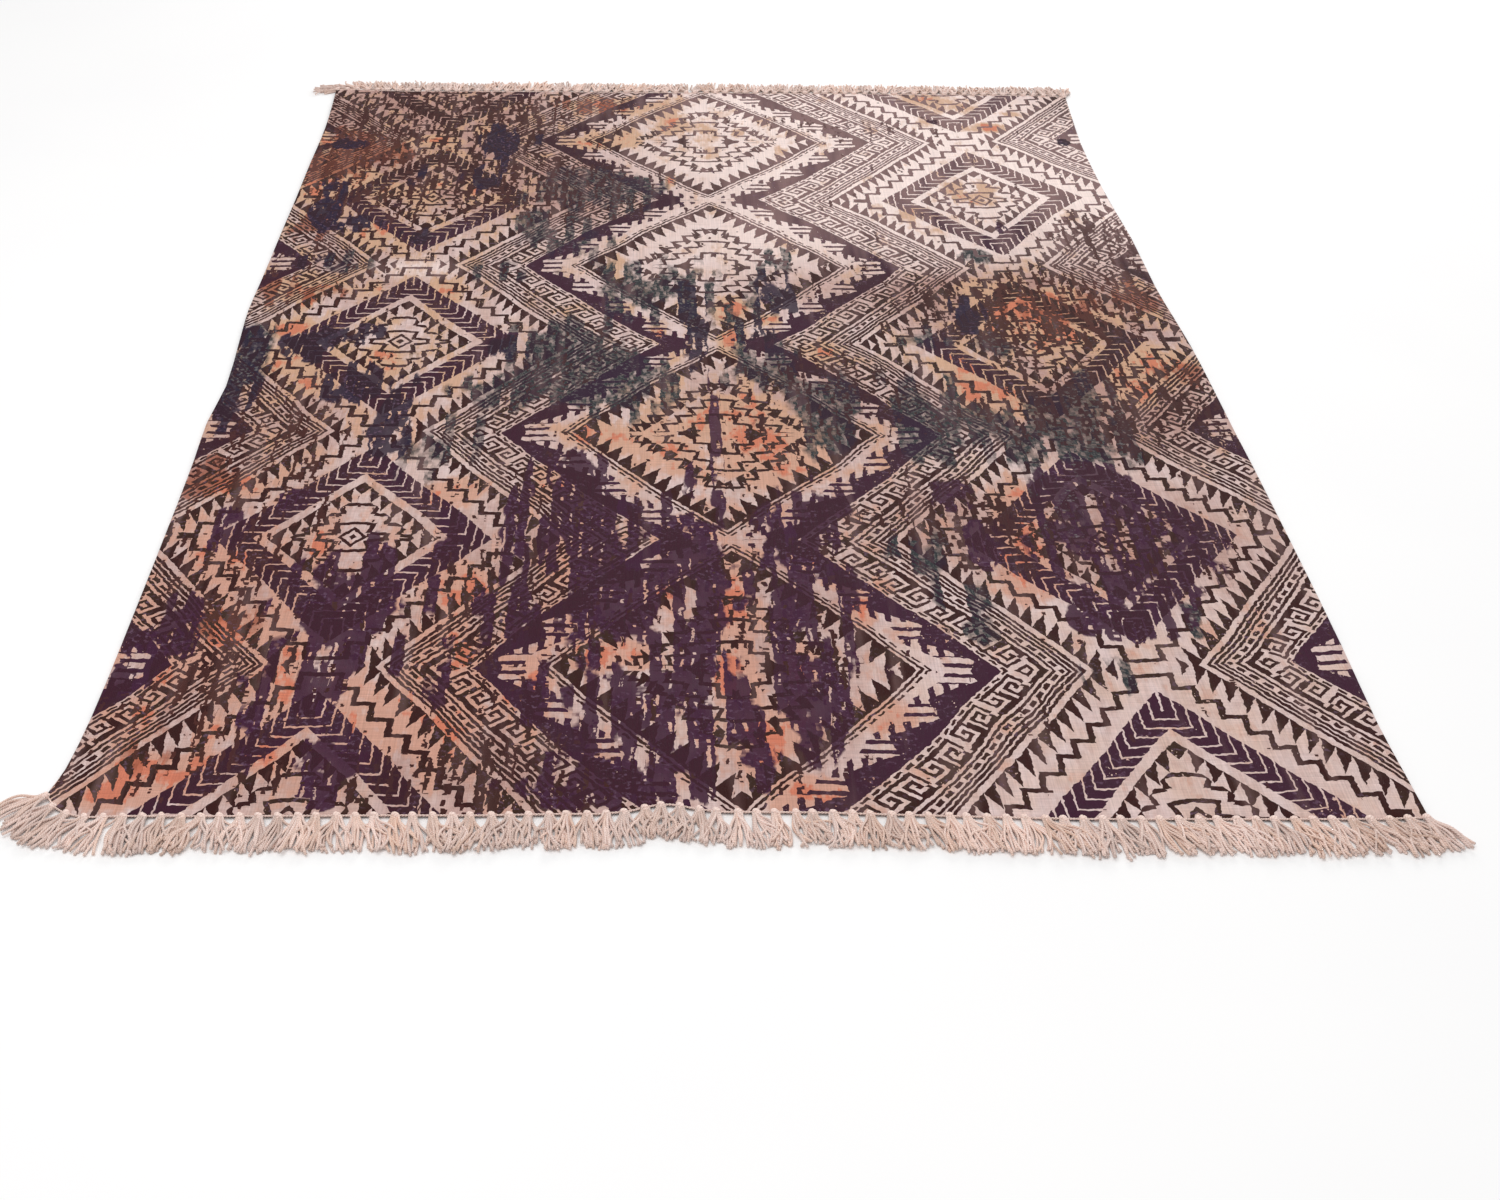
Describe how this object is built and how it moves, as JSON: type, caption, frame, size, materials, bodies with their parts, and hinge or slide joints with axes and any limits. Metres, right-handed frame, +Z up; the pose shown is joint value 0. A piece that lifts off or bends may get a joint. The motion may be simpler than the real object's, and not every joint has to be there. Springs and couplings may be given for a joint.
{
  "type": "printed cotton rug",
  "caption": "Flat rectangular printed cotton rug with a knotted cotton fringe along both short ends, lying flat on the floor.",
  "frame": {"origin": "middle of the cloth's underside, on the floor", "axes": "+Y along the rug from the near fringe to the far one, +X across it to the right, +Z up from the floor to the printed face"},
  "size_m": [1.3117, 1.9272, 0.006],
  "materials": {
    "printed_cotton": "matt flatwoven cotton, printed and washed on its upper face",
    "fringe_cotton": "unprinted plied cotton yarn"
  },
  "bodies": {
    "root": {"printed_cloth": "printed_cotton", "near_fringe": "fringe_cotton", "far_fringe": "fringe_cotton"}
  },
  "joints": []
}
